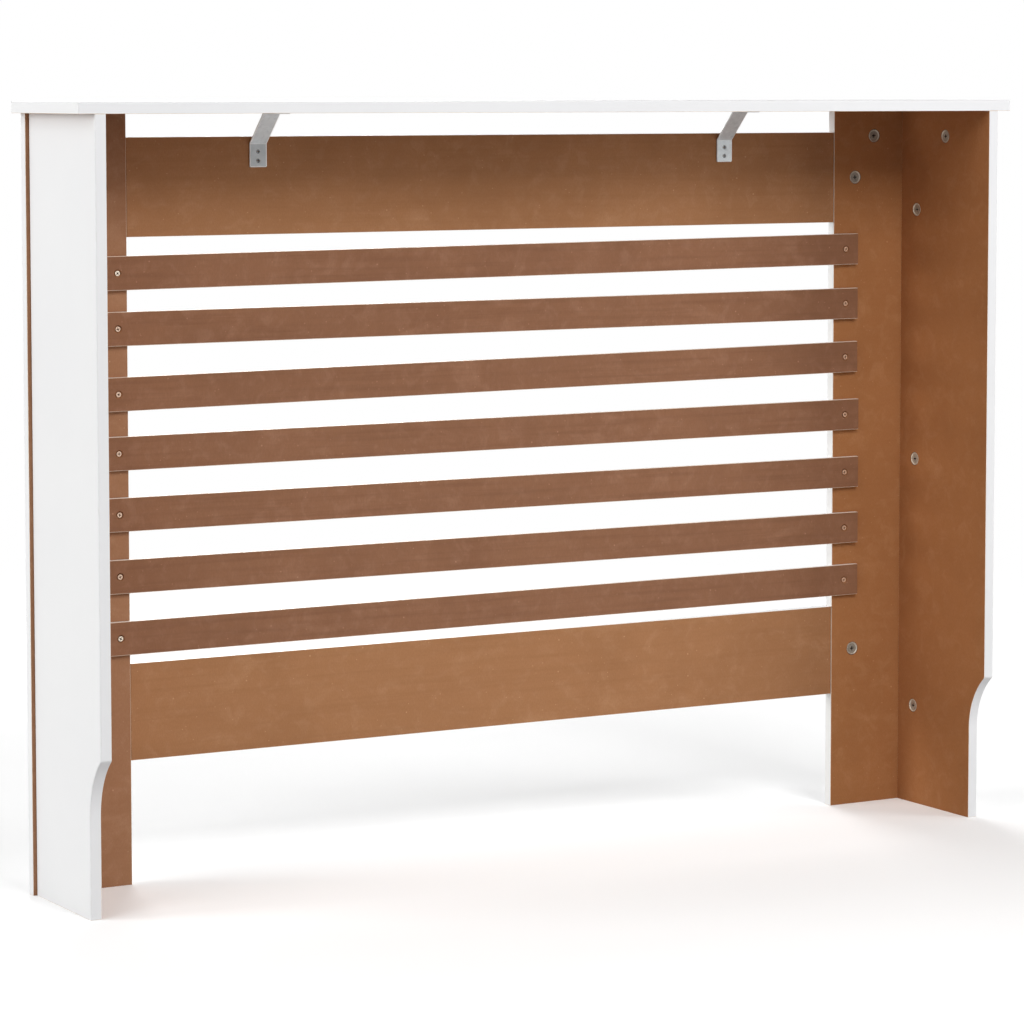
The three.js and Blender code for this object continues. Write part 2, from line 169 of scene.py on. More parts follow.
# Soft lamps round the middle of the cabinet: degrees from the wall side towards +X, degrees
# up, size in metres, and strength as the brightness of a white board that faces the lamp
LAMP_DISTANCE = 4.0
LAMP_TARGET = Vector((0, 0, 0.45))
SOFTBOXES = {
    "key_softbox": (1, 36, 1.5, 0.50),
    "low_left_softbox": (-52, 12, 1.5, 0.34),
    "low_right_softbox": (105, 12, 1.6, 0.44),
    "high_right_softbox": (70, 36, 1.6, 0.19),
    "front_softbox": (196, 14, 1.6, 0.64),
}
WORLD_FILL = 0.28

# The camera, found from the photograph's edges
CAMERA_PLACE = Vector((2.0215, 3.5167, 0.8217))
CAMERA_YAW = math.radians(30.088)
CAMERA_PITCH = math.radians(4.648)
CAMERA_LENS = 134.04
CAMERA_SHIFT = (-0.0321, -0.11)


# ------------------------------------------------------------------ shader building

def add(tree, kind, inputs=None, **settings):
    """A node with its settings, and its inputs linked where they are given as sockets."""
    node = tree.nodes.new(kind)
    for name, value in settings.items():
        setattr(node, name, value)
    for name, value in (inputs or {}).items():
        if isinstance(value, bpy.types.NodeSocket):
            tree.links.new(value, node.inputs[name])
        else:
            node.inputs[name].default_value = value
    return node


def calc(tree, operation, a, b=0.5, clamp=False):
    node = add(tree, "ShaderNodeMath", {0: a, 1: b}, operation=operation, use_clamp=clamp)
    return node.outputs[0]


def blend_colours(tree, factor, a, b, mode="MIX"):
    node = tree.nodes.new("ShaderNodeMix")
    node.data_type = "RGBA"
    node.blend_type = mode
    for index, value in ((0, factor), (6, a), (7, b)):
        if isinstance(value, bpy.types.NodeSocket):
            tree.links.new(value, node.inputs[index])
        else:
            node.inputs[index].default_value = value
    return node.outputs[2]


def ramp(tree, value, low, high, to_low=0.0, to_high=1.0):
    """value from low..high, smoothly, to to_low..to_high."""
    inputs = {"Value": value, 1: low, 2: high, 3: to_low, 4: to_high}
    return add(tree, "ShaderNodeMapRange", inputs, interpolation_type="SMOOTHSTEP").outputs[0]


def stretched(tree, vector, scale):
    return add(tree, "ShaderNodeVectorMath", {0: vector, 1: scale}, operation="MULTIPLY").outputs[0]


def noise(tree, vector, scale, detail=3.0, roughness=0.5, distortion=0.0):
    inputs = {"Vector": vector, "Scale": scale, "Detail": detail, "Roughness": roughness,
              "Distortion": distortion}
    return add(tree, "ShaderNodeTexNoise", inputs).outputs["Fac"]


def effect(name, inputs, outputs):
    """A new node group with named sockets: its tree, its input node and its output node."""
    tree = bpy.data.node_groups.new(name, "ShaderNodeTree")
    kinds = {"float": "NodeSocketFloat", "colour": "NodeSocketColor", "vector": "NodeSocketVector"}
    for socket, kind, value in inputs:
        made = tree.interface.new_socket(socket, in_out="INPUT", socket_type=kinds[kind])
        if value is not None:
            made.default_value = value
    for socket, kind in outputs:
        tree.interface.new_socket(socket, in_out="OUTPUT", socket_type=kinds[kind])
    return tree, tree.nodes.new("NodeGroupInput"), tree.nodes.new("NodeGroupOutput")


def place_effect(tree, group, inputs):
    node = add(tree, "ShaderNodeGroup", node_tree=group)
    for name, value in inputs.items():
        if isinstance(value, bpy.types.NodeSocket):
            tree.links.new(value, node.inputs[name])
        else:
            node.inputs[name].default_value = value
    return node.outputs


def send(tree, output, values):
    for name, socket in values.items():
        tree.links.new(socket, output.inputs[name])


def rgb(red, green, blue):
    """A colour read off as sRGB 0-255, as the linear values that a shader takes."""
    def linear(value):
        value /= 255
        return value / 12.92 if value <= 0.04045 else ((value + 0.055) / 1.055) ** 2.4
    return (linear(red), linear(green), linear(blue), 1.0)


def grey(value):
    return (value, value, value, 1)


def make_fibre_effect():
    """Pressed wood fibre: dark clouds, pale smudges, mottling, short fibres and pale specks."""
    tree, given, out = effect(
        "pressed_fibre",
        [("Vector", "vector", None), ("Base", "colour", None), ("Dark", "colour", None),
         ("Light", "colour", None), ("Clouds", "float", 0.5), ("Chips", "float", 0.5)],
        [("Color", "colour"), ("Roughness", "float"), ("Height", "float")])
    place = given.outputs["Vector"]
    clouds = noise(tree, place, 7.0, 4.0, 0.55, 0.4)
    mottle = noise(tree, place, 55.0, 4.0, 0.6, 0.6)
    fibres = noise(tree, stretched(tree, place, (1.0, 1.0, 0.35)), 900.0, 3.0, 0.65)
    fuzz = noise(tree, place, 2600.0, 2.0, 0.6)
    dark = calc(tree, "MULTIPLY", ramp(tree, clouds, 0.42, 0.66), given.outputs["Clouds"])
    colour = blend_colours(tree, dark, given.outputs["Base"], given.outputs["Dark"])
    smudges = noise(tree, stretched(tree, place, (0.6, 1.0, 1.0)), 17.0, 5.0, 0.62, 0.9)
    smudge = calc(tree, "MULTIPLY", ramp(tree, smudges, 0.56, 0.74), 0.4)
    colour = blend_colours(tree, smudge, colour, given.outputs["Light"])
    pale = calc(tree, "MULTIPLY", ramp(tree, mottle, 0.48, 0.75), 0.3)
    colour = blend_colours(tree, pale, colour, given.outputs["Light"])
    strand = calc(tree, "MULTIPLY", ramp(tree, fibres, 0.35, 0.62), 0.24)
    colour = blend_colours(tree, strand, colour, given.outputs["Dark"])
    grain = calc(tree, "MULTIPLY", ramp(tree, fuzz, 0.5, 0.75), 0.2)
    colour = blend_colours(tree, grain, colour, given.outputs["Light"])
    for scale, radius, rarity, strength in ((95.0, 0.09, 0.84, 1.0), (240.0, 0.16, 0.9, 0.9)):
        cells = add(tree, "ShaderNodeTexVoronoi",
                    {"Vector": place, "Scale": scale, "Randomness": 1.0})
        spot = ramp(tree, cells.outputs["Distance"], radius * 0.6, radius * 1.3, strength, 0.0)
        share = add(tree, "ShaderNodeSeparateColor", {0: cells.outputs["Color"]}).outputs[0]
        spot = calc(tree, "MULTIPLY", spot, ramp(tree, share, rarity, rarity + 0.03))
        spot = calc(tree, "MULTIPLY", spot, given.outputs["Chips"])
        colour = blend_colours(tree, spot, colour, given.outputs["Light"])
    rough = ramp(tree, mottle, 0.3, 0.7, 0.94, 0.78)
    height = calc(tree, "ADD", calc(tree, "MULTIPLY", fibres, 0.7), calc(tree, "MULTIPLY", fuzz, 0.3))
    send(tree, out, {"Color": colour, "Roughness": rough, "Height": height})
    return tree


def make_streak_effect():
    """Sanding and rubbing marks that run along X: a mask of soft streaks, and finer scratches."""
    tree, given, out = effect(
        "sanding_streaks", [("Vector", "vector", None)],
        [("Streaks", "float"), ("Scratches", "float")])
    place = given.outputs["Vector"]
    soft = noise(tree, stretched(tree, place, (2.0, 30.0, 60.0)), 3.0, 4.0, 0.6)
    fine = noise(tree, stretched(tree, place, (3.0, 150.0, 320.0)), 4.0, 2.0, 0.7, 0.4)
    streaks = ramp(tree, soft, 0.45, 0.72)
    scratches = ramp(tree, fine, 0.66, 0.74)
    send(tree, out, {"Streaks": streaks, "Scratches": scratches})
    return tree


def make_facing_effect():
    """Satin white facing film: a trace of tone, a fine orange peel and the odd spot worn by rubbing.
    """
    tree, given, out = effect(
        "satin_film",
        [("Vector", "vector", None), ("Base", "colour", None), ("Shade", "colour", None)],
        [("Color", "colour"), ("Roughness", "float"), ("Height", "float")])
    place = given.outputs["Vector"]
    tone = noise(tree, place, 5.0, 3.0, 0.5)
    peel = noise(tree, place, 480.0, 2.0, 0.4)
    rub = noise(tree, place, 26.0, 5.0, 0.65, 0.8)
    colour = blend_colours(tree, calc(tree, "MULTIPLY", ramp(tree, tone, 0.35, 0.7), 0.5),
                           given.outputs["Base"], given.outputs["Shade"])
    rough = ramp(tree, rub, 0.35, 0.7, 0.46, 0.58)
    send(tree, out, {"Color": colour, "Roughness": rough, "Height": peel})
    return tree


def make_arris_effect():
    """Wear on a rounded edge: where the edge's own mask is set, broken up by noise. Its line runs
    softly along the same edge; the white film takes it as a greyer line, and metal as a painted
    highlight.
    """
    tree, given, out = effect(
        "arris_wear_and_sheen",
        [("Vector", "vector", None), ("Arris", "float", 0.0), ("Amount", "float", 0.5)],
        [("Wear", "float"), ("Line", "float")])
    place = given.outputs["Vector"]
    breaks = ramp(tree, noise(tree, place, 70.0, 5.0, 0.7), 0.45, 0.68)
    wear = calc(tree, "MULTIPLY", calc(tree, "MULTIPLY", given.outputs["Arris"], breaks),
                given.outputs["Amount"])
    soft = ramp(tree, noise(tree, place, 12.0, 2.0), 0.3, 0.7, 0.4, 1.0)
    line = calc(tree, "MULTIPLY", given.outputs["Arris"], soft)
    send(tree, out, {"Wear": wear, "Line": line})
    return tree


def make_metal_effect():
    """Plated or cast metal: crystals, rolling marks, a dull bloom and fine scratches."""
    tree, given, out = effect(
        "zinc_skin",
        [("Vector", "vector", None), ("Base", "colour", None), ("Dark", "colour", None),
         ("Crystal Scale", "float", 300.0), ("Roughness", "float", 0.35)],
        [("Color", "colour"), ("Roughness", "float"), ("Height", "float")])
    place = given.outputs["Vector"]
    cells = add(tree, "ShaderNodeTexVoronoi",
                {"Vector": place, "Scale": given.outputs["Crystal Scale"], "Randomness": 1.0})
    facet = add(tree, "ShaderNodeSeparateColor", {0: cells.outputs["Color"]}).outputs[0]
    bloom = noise(tree, place, 160.0, 5.0, 0.65, 0.5)
    roll = noise(tree, stretched(tree, place, (1600.0, 90.0, 90.0)), 1.0, 3.0, 0.6)
    dark = calc(tree, "MULTIPLY", facet, 0.35)
    colour = blend_colours(tree, dark, given.outputs["Base"], given.outputs["Dark"])
    stain = calc(tree, "MULTIPLY", ramp(tree, bloom, 0.45, 0.75), 0.55)
    colour = blend_colours(tree, stain, colour, given.outputs["Dark"])
    shift = calc(tree, "SUBTRACT", calc(tree, "MULTIPLY", bloom, 0.3), 0.12)
    rough = calc(tree, "ADD", given.outputs["Roughness"], shift, clamp=True)
    height = calc(tree, "ADD", calc(tree, "MULTIPLY", roll, 0.6), calc(tree, "MULTIPLY", bloom, 0.4))
    send(tree, out, {"Color": colour, "Roughness": rough, "Height": height})
    return tree


EFFECTS = {
    "fibre": make_fibre_effect(),
    "streaks": make_streak_effect(),
    "film": make_facing_effect(),
    "arris": make_arris_effect(),
    "metal": make_metal_effect(),
}


def new_material(name):
    """An empty material: its tree, its Principled shader and the object's own coordinates."""
    material = bpy.data.materials.new(name)
    material.use_nodes = True
    tree = material.node_tree
    shader = tree.nodes["Principled BSDF"]
    place = add(tree, "ShaderNodeTexCoord").outputs["Object"]
    return material, tree, shader, place


def finish_shader(tree, shader, colour, roughness, height, distance, strength=0.5):
    tree.links.new(colour, shader.inputs["Base Color"])
    tree.links.new(roughness, shader.inputs["Roughness"])
    bump = add(tree, "ShaderNodeBump", {"Height": height, "Distance": distance,
                                        "Strength": strength})
    tree.links.new(bump.outputs[0], shader.inputs["Normal"])


def arris_mask(tree):
    return add(tree, "ShaderNodeAttribute", attribute_name="arris").outputs["Fac"]


def make_white_facing(name, base, shade):
    material, tree, shader, place = new_material(name)
    film = place_effect(tree, EFFECTS["film"], {"Vector": place, "Base": base, "Shade": shade})
    edge = place_effect(tree, EFFECTS["arris"], {
        "Vector": place, "Arris": arris_mask(tree), "Amount": 0.5})
    colour = blend_colours(tree, calc(tree, "MULTIPLY", edge["Line"], 0.25), film["Color"],
                           rgb(226, 226, 227))
    colour = blend_colours(tree, calc(tree, "MULTIPLY", edge["Wear"], 0.25), colour,
                           rgb(214, 206, 196))
    finish_shader(tree, shader, colour, film["Roughness"], film["Height"], 0.00006, 0.35)
    shader.inputs["Specular IOR Level"].default_value = 0.2
    shader.inputs["Coat Weight"].default_value = 0.04
    shader.inputs["Coat Roughness"].default_value = 0.4
    return material


def make_raw_board(name, base, dark, light, clouds, chips, streaks, seed):
    """Raw fibreboard. Its streaks run along X, and the seed moves the pattern."""
    material, tree, shader, place = new_material(name)
    moved = add(tree, "ShaderNodeVectorMath", {0: place, 1: seed}, operation="ADD").outputs[0]
    fibre = place_effect(tree, EFFECTS["fibre"], {
        "Vector": moved, "Base": base, "Dark": dark, "Light": light, "Clouds": clouds,
        "Chips": chips})
    marks = place_effect(tree, EFFECTS["streaks"], {"Vector": moved})
    edge = place_effect(tree, EFFECTS["arris"], {
        "Vector": moved, "Arris": arris_mask(tree), "Amount": 0.8})
    colour = blend_colours(tree, calc(tree, "MULTIPLY", marks["Streaks"], streaks),
                           fibre["Color"], dark)
    colour = blend_colours(tree, calc(tree, "MULTIPLY", marks["Scratches"], streaks * 0.8),
                           colour, light)
    colour = blend_colours(tree, calc(tree, "MULTIPLY", edge["Wear"], 0.6), colour, light)
    finish_shader(tree, shader, colour, fibre["Roughness"], fibre["Height"], 0.00012, 0.5)
    shader.inputs["Specular IOR Level"].default_value = 0.25
    return material


def make_metal(name, base, dark, crystal, roughness, metallic, painted_highlight=None, dulled=None):
    """Plated or cast metal. A piece's own dulling mixes it to a duller colour, and its marked arrises
    to a pale colour, a painted highlight. Where either shows, the metal scatters light."""
    material, tree, shader, place = new_material(name)
    skin = place_effect(tree, EFFECTS["metal"], {
        "Vector": place, "Base": base, "Dark": dark, "Crystal Scale": crystal,
        "Roughness": roughness})
    colour = skin["Color"]
    shine = metallic
    shader.inputs["Metallic"].default_value = metallic
    covers = []
    if dulled:
        dulling = add(tree, "ShaderNodeAttribute", attribute_name="dulling").outputs["Fac"]
        covers.append((dulling, dulled))
    if painted_highlight:
        edge = place_effect(tree, EFFECTS["arris"], {"Vector": place, "Arris": arris_mask(tree)})
        covers.append((calc(tree, "MULTIPLY", edge["Line"], 0.85), painted_highlight))
    for mask, cover in covers:
        colour = blend_colours(tree, mask, colour, cover)
        shine = calc(tree, "MULTIPLY", calc(tree, "SUBTRACT", 1.0, mask), shine)
        tree.links.new(shine, shader.inputs["Metallic"])
    finish_shader(tree, shader, colour, skin["Roughness"], skin["Height"], 0.00003, 0.4)
    return material


WHITE = make_white_facing("white_facing", rgb(235, 235, 235), rgb(231, 231, 232))
# Greyer white for the edges that look towards the wall: partly the painted edges' own colour, partly
# painted shade
EDGING_AND_SHADE = make_white_facing("white_edging", rgb(230, 230, 231), rgb(226, 226, 228))
# Brighter white for the stiles' inner edges: painted light
STILE_EDGE_PAINTED_LIGHT = make_white_facing("stile_edging", rgb(254, 253, 251), rgb(252, 251, 248))
LIP = make_white_facing("film_lip", rgb(236, 212, 186), rgb(200, 168, 140))
RAW_RAIL = make_raw_board("raw_rail", rgb(168, 119, 81), rgb(142, 97, 62), rgb(188, 142, 104),
                          0.3, 1.0, 0.2, (0.0, 0.0, 0.0))
RAW_STILE = {
    "left": make_raw_board("raw_stile_left", rgb(171, 115, 71), rgb(146, 94, 54),
                           rgb(190, 138, 94), 0.25, 1.0, 0.1, (2.3, 4.1, 0.6)),
    "right": make_raw_board("raw_stile_right", rgb(161, 116, 85), rgb(137, 94, 65),
                            rgb(182, 139, 107), 0.25, 1.0, 0.1, (7.7, 1.9, 3.2))}
RAW_PANEL = make_raw_board("raw_panel", rgb(173, 115, 70), rgb(148, 94, 53), rgb(192, 138, 93),
                           0.3, 1.0, 0.1, (4.4, 2.8, 6.1))
RAW_SLAT = make_raw_board("raw_slat", rgb(144, 101, 74), rgb(122, 83, 60), rgb(170, 126, 100),
                          0.35, 0.9, 0.4, (3.1, 0.7, 1.9))
# Darker lining of bores and sinks: partly the drilled fibre's own colour, partly painted shade
BORE_FIBRE_AND_SHADE = make_raw_board("bored_fibreboard_and_shade", rgb(140, 92, 58), rgb(96, 60, 38), rgb(178, 130, 92),
                       0.6, 0.9, 0.0, (5.2, 1.1, 4.3))
BEECH = make_raw_board("beech_dowel", rgb(206, 170, 124), rgb(176, 138, 96), rgb(222, 190, 148),
                       0.4, 0.2, 0.5, (1.3, 6.1, 2.2))
# The zinc's pale arris colour is a painted highlight on the brackets' edge bands and bend lines; its
# dulled colour is the darker grey of their rail flanges
ZINC = make_metal("zinc_plate", rgb(218, 225, 228), rgb(186, 193, 197), 210.0, 0.40, 0.5,
                  painted_highlight=rgb(250, 250, 248), dulled=rgb(144, 148, 150))
# The cast zinc's pale rim colour is a painted highlight on the cams' rims
CAST = make_metal("cast_zinc", rgb(194, 185, 169), rgb(124, 116, 105), 900.0, 0.5, 0.5,
                  painted_highlight=rgb(234, 220, 200))
# A darker copy of the cast zinc for the cams that face the wall side, painted shade; its pale rims
# are a painted highlight
SHADED_STILE_CAST = make_metal("shaded_cast_zinc", rgb(160, 154, 142), rgb(96, 90, 82), 900.0, 0.5, 0.5,
                        painted_highlight=rgb(226, 212, 194))
# Dark lining of recesses and the bolt's track: partly grime, partly painted shade
RECESS_GRIME_AND_SHADE = make_metal("recess_grime_and_shade", rgb(46, 38, 32), rgb(24, 20, 17), 700.0, 0.8, 0.2,
                    dulled=rgb(150, 112, 86))
SCREW = make_metal("screw_plate", rgb(232, 222, 206), rgb(190, 178, 160), 1200.0, 0.42, 0.7,
                   dulled=rgb(214, 170, 140))
STEEL = make_metal("bracket_screw_steel", rgb(150, 153, 154), rgb(90, 93, 94), 1200.0, 0.45, 0.5)

# The kinds of face on a board, in the order of its materials
FACED, BARE, DRILLED, LIGHT_OR_SHADE_TONED, LIPPED = range(5)


# ------------------------------------------------------------------ mesh building

def piece(name, mesh, materials, replaced=()):
    """A finished piece on the cabinet's one body. A mesh that was cut has its materials already."""
    obj = bpy.data.objects.new(name, mesh)
    bpy.context.scene.collection.objects.link(obj)
    if not mesh.materials:
        for material in materials:
            mesh.materials.append(material)
    mesh.shade_smooth()
    mesh.set_sharp_from_angle(angle=SMOOTH_ANGLE)
    obj.modifiers.new("even_shading", "WEIGHTED_NORMAL").keep_sharp = True
    if replaced:
        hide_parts(*replaced)
    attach(obj, "root")


def face_outwards(bm):
    bm.normal_update()
    bmesh.ops.recalc_face_normals(bm, faces=bm.faces)
    bm.normal_update()


def mesh_of(bm, name):
    face_outwards(bm)
    mesh = bpy.data.meshes.new(name)
    bm.to_mesh(mesh)
    bm.free()
    return mesh


def prism(outline, thickness):
    """An outline in X and Y, drawn up along Z."""
    bm = bmesh.new()
    face = bm.faces.new([bm.verts.new((x, y, 0)) for x, y in outline])
    drawn = bmesh.ops.extrude_face_region(bm, geom=[face])["geom"]
    rise = [v for v in drawn if isinstance(v, bmesh.types.BMVert)]
    bmesh.ops.translate(bm, verts=rise, vec=(0, 0, thickness))
    face_outwards(bm)
    return bm


def round_edges(bm, size, segments, between=None, lining=0):
    """Rounds the sharp edges, or only those between two kinds of face, with strips of a third
    kind, and marks the strips in the layer that shaders read."""
    mark = bm.loops.layers.float.get("arris") or bm.loops.layers.float.new("arris")
    sharp = [edge for edge in bm.edges if edge.calc_face_angle(0) > SHARP_ANGLE
             and (between is None
                  or sorted(f.material_index for f in edge.link_faces) == sorted(between))]
    made = bmesh.ops.bevel(bm, geom=sharp, offset=size, segments=segments, profile=0.5,
                           affect="EDGES", clamp_overlap=True, material=lining)
    for face in made["faces"]:
        for loop in face.loops:
            loop[mark] = 1.0
    bm.normal_update()


def arc(centre, radius, start, end, steps):
    """Points of an arc, angles in degrees."""
    for i in range(steps + 1):
        turn = math.radians(start + (end - start) * i / steps)
        yield centre[0] + radius * math.cos(turn), centre[1] + radius * math.sin(turn)


def turned(profile, segments, name):
    """A solid turned about Z from (radius, height) pairs that start and end on the axis. Its
    sloping bands are marked as arrises."""
    bm = bmesh.new()
    mark = bm.loops.layers.float.new("arris")
    rings = []
    for radius, height in profile:
        if radius == 0:
            rings.append([bm.verts.new((0, 0, height))])
            continue
        rings.append([bm.verts.new((radius * math.cos(a), radius * math.sin(a), height))
                      for a in (math.tau * i / segments for i in range(segments))])
    for low, high, start, end in zip(rings, rings[1:], profile, profile[1:]):
        sloping = start[0] != end[0] and start[1] != end[1]
        for i in range(segments):
            j = (i + 1) % segments
            corners = [low[i % len(low)], low[j % len(low)], high[j % len(high)],
                       high[i % len(high)]]
            face = bm.faces.new(list(dict.fromkeys(corners)))
            for loop in face.loops:
                loop[mark] = float(sloping)
    return mesh_of(bm, name)


def cut(target, cutters):
    """Cuts the cutters out of a mesh, exactly, and gives the cut mesh back."""
    body = bpy.data.objects.new("to_cut", target)
    bpy.context.scene.collection.objects.link(body)
    tools = bpy.data.collections.new("cutters")
    bpy.context.scene.collection.children.link(tools)
    for mesh in cutters:
        tools.objects.link(bpy.data.objects.new("cutter", mesh))
    bores = body.modifiers.new("bores", "BOOLEAN")
    bores.operation = "DIFFERENCE"
    bores.solver = "EXACT"
    bores.operand_type = "COLLECTION"
    bores.collection = tools
    bores.material_mode = "TRANSFER"
    ready = body.evaluated_get(bpy.context.evaluated_depsgraph_get())
    result = bpy.data.meshes.new_from_object(ready)
    result.name = target.name
    for tool in list(tools.objects):
        bpy.data.objects.remove(tool)
    bpy.data.collections.remove(tools)
    bpy.data.objects.remove(body)
    return result


def bore_cutter(matrix, profile, segments=48):
    """A turned cutter along a place's Z axis, lined with drilled board, darker partly for its own
    fibre and partly as painted shade in the hole.
    """
    mesh = turned(profile, segments, "bore")
    mesh.materials.append(BORE_FIBRE_AND_SHADE)
    mesh.transform(matrix)
    return mesh


def faces_by_side(bm, bare_directions):
    """Marks the flat faces that look in the given directions as bare, and the rest as faced."""
    for face in bm.faces:
        bare = any(face.normal.dot(Vector(way)) > 0.999 for way in bare_directions)
        face.material_index = BARE if bare else FACED


# ------------------------------------------------------------------ places, from the frame

def middle(node):
    low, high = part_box(node)
    return (low + high) / 2


def longest_axis(vector):
    return max(range(3), key=lambda axis: abs(vector[axis]))


def fitting_frame(name):
    """Where a cam fitting lies: X towards the joint, Z out of the board, the origin at the
    middle of the cam's mouth."""
    low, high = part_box("cam_" + name)
    size = high - low
    away = middle("bolt_" + name) - middle("cam_" + name)
    along = longest_axis(away)
    out = min(range(3), key=lambda axis: size[axis])
    toward = Vector([math.copysign(1, away[axis]) if axis == along else 0 for axis in range(3)])
    face = Vector([-math.copysign(1, away[axis]) if axis == out else 0 for axis in range(3)])
    mouth = (low + high) / 2 + face * size[out] / 2
    side = face.cross(toward)
    return Matrix.Translation(mouth) @ Matrix((toward, side, face)).transposed().to_4x4()


FITTINGS = {name[4:]: fitting_frame(name[4:]) for name in frame["nodes"] if name[:4] == "cam_"}


def fittings_of(board):
    """The fittings whose cams lie in a board."""
    low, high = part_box(board)
    return [matrix for matrix in FITTINGS.values()
            if all(low[i] - MM < matrix.translation[i] < high[i] + MM for i in range(3))]


# ------------------------------------------------------------------ boards

POCKET_RADIUS = CAM_RADIUS + POCKET_GAP
POCKET = [(0, OVERCUT), (POCKET_RADIUS + POCKET_MOUTH, OVERCUT),
          (POCKET_RADIUS + POCKET_MOUTH, 0.2 * MM), (POCKET_RADIUS, -0.3 * MM),
          (POCKET_RADIUS, -CAM_HEIGHT - POCKET_GAP), (0, -CAM_HEIGHT - POCKET_GAP)]


def make_board(name, bm, turn, bare, slot, raw, cutters=(), lip=FILM_LIP, ease=SAWN_ROUND,
               banded=None, edging=EDGING_AND_SHADE):
    """A board from its prism: turned into place, faced on all but its bare sides, with round
    arrises under the facing, a lip where the facing ends and eased arrises where it is sawn.
    The faced sides that look in the given direction take the given white instead. On some boards this
    white paints shade, and on others it paints light."""
    bm.transform(turn)
    face_outwards(bm)
    faces_by_side(bm, bare)
    round_edges(bm, FACED_ROUND, 3, (FACED, FACED), FACED)
    round_edges(bm, lip, 2, (FACED, BARE), LIPPED)
    round_edges(bm, ease, 2, (BARE, BARE), BARE)
    # faced sides that look in the given direction take the given white: painted shade on the top
    # board and panels, painted light on the stiles
    for face in bm.faces:
        if banded and face.material_index == FACED and face.normal.dot(Vector(banded)) > 0.3:
            face.material_index = LIGHT_OR_SHADE_TONED
    mesh = mesh_of(bm, name)
    for material in (WHITE, raw, BORE_FIBRE_AND_SHADE, edging, LIP):
        mesh.materials.append(material)
    if cutters:
        mesh = cut(mesh, cutters)
    piece(name + "_board", mesh, [], [name])


def rectangle(low, high):
    return [(low[0], low[1]), (high[0], low[1]), (high[0], high[1]), (low[0], high[1])]


def make_top_board():
    low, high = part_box("top_board")
    r = CORNER_RADIUS
    outline = [(high.x, high.y), (low.x, high.y)]
    outline += arc((low.x + r, low.y + r), r, 180, 270, 16)
    outline += arc((high.x - r, low.y + r), r, 270, 360, 16)
    bm = prism(outline, high.z - low.z)
    lift = Matrix.Translation((0, 0, low.z))
    # its wall-side edge takes the greyer white, partly painted shade
    make_board("top_board", bm, lift, [(0, 0, -1)], "faced_board", RAW_RAIL, banded=(0, 1, 0))


def make_side_panel(side):
    name = "side_panel_" + side
    low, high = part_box(name)
    sweep = math.acos(1 - SKIRTING_DEPTH / SKIRTING_COVE)
    back = high.y - SKIRTING_DEPTH
    centre = (back + SKIRTING_COVE, SKIRTING_TOP - SKIRTING_COVE * math.sin(sweep))
    outline = [(high.y, high.z), (low.y, high.z), (low.y, 0), (back, 0)]
    outline += arc(centre, SKIRTING_COVE, 180, 180 - math.degrees(sweep), 20)
    bm = prism(outline, high.x - low.x)
    upright = Matrix.Translation((low.x, 0, 0)) @ Matrix(
        ((0, 0, 1), (1, 0, 0), (0, 1, 0))).to_4x4()
    inward = (1 if side == "left" else -1, 0, 0)
    cutters = [bore_cutter(matrix, POCKET) for matrix in fittings_of(name)]
    # their wall-side edges take the greyer white, partly painted shade
    make_board(name, bm, upright, [inward, (0, 0, -1), (0, 0, 1)], "faced_board", RAW_PANEL,
               cutters, banded=(0, 1, 0))


def frame_board(name, low, high, bare, raw, cutters=(), **edges):
    """A board of the front frame: faced in front, bare at the back."""
    bm = prism(rectangle((low.x, low.z), (high.x, high.z)), high.y - low.y)
    upright = Matrix.Translation((0, high.y, 0)) @ Matrix.Rotation(math.pi / 2, 4, "X")
    make_board(name, bm, upright, [(0, 1, 0), *bare], "raw_board", raw, cutters, **edges)


def make_stile(side):
    name = "stile_" + side
    low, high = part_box(name)
    cutters = [bore_cutter(matrix, POCKET) for matrix in fittings_of(name)]
    inward = (1 if side == "left" else -1, 0, 0)
    # the inner edges take the brighter white: painted light
    frame_board(name, low, high, [(0, 0, -1), (0, 0, 1)], RAW_STILE[side], cutters,
                lip=STILE_LIP, banded=inward, edging=STILE_EDGE_PAINTED_LIGHT)


def make_rail(name):
    """A rail between the stiles, and its glued dowels."""
    low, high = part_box(name)
    low.x, high.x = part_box("stile_left")[1].x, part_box("stile_right")[0].x
    frame_board(name, low, high, [(-1, 0, 0), (1, 0, 0)], RAW_RAIL, ease=RAIL_EASE)
    centre = (low + high) / 2
    for side, x in (("left", low.x), ("right", high.x)):
        for level, offset in (("upper", DOWEL_SPACING / 2), ("lower", -DOWEL_SPACING / 2)):
            place = Vector((x, centre.y, centre.z + offset))
            make_dowel(f"dowel_{name}_{side}_{level}", place)


def make_dowel(name, place):
    """A fluted beech dowel along X, half in the rail and half in the stile."""
    half, chamfer = DOWEL_LENGTH / 2, DOWEL_CHAMFER
    profile = [(0, -half), (DOWEL_RADIUS - chamfer, -half), (DOWEL_RADIUS, chamfer - half),
               (DOWEL_RADIUS, half - chamfer), (DOWEL_RADIUS - chamfer, half), (0, half)]
    mesh = turned(profile, 4 * DOWEL_FLUTES, name)
    for vertex in mesh.vertices:
        angle = math.atan2(vertex.co.y, vertex.co.x)
        groove = 1 - DOWEL_FLUTE_DEPTH * (0.5 + 0.5 * math.cos(DOWEL_FLUTES * angle)) ** 3
        vertex.co.x *= groove
        vertex.co.y *= groove
    mesh.transform(Matrix.Translation(place) @ Matrix.Rotation(math.pi / 2, 4, "Y"))
    piece(name, mesh, [BEECH])


# ------------------------------------------------------------------ grille

def screw_place(number, side):
    """The middle of a slat screw's head, at its top."""
    centre = middle(f"slat_screw_{number}_{side}")
    return Vector((centre.x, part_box(f"slat_screw_{number}_{side}")[1].y, centre.z))


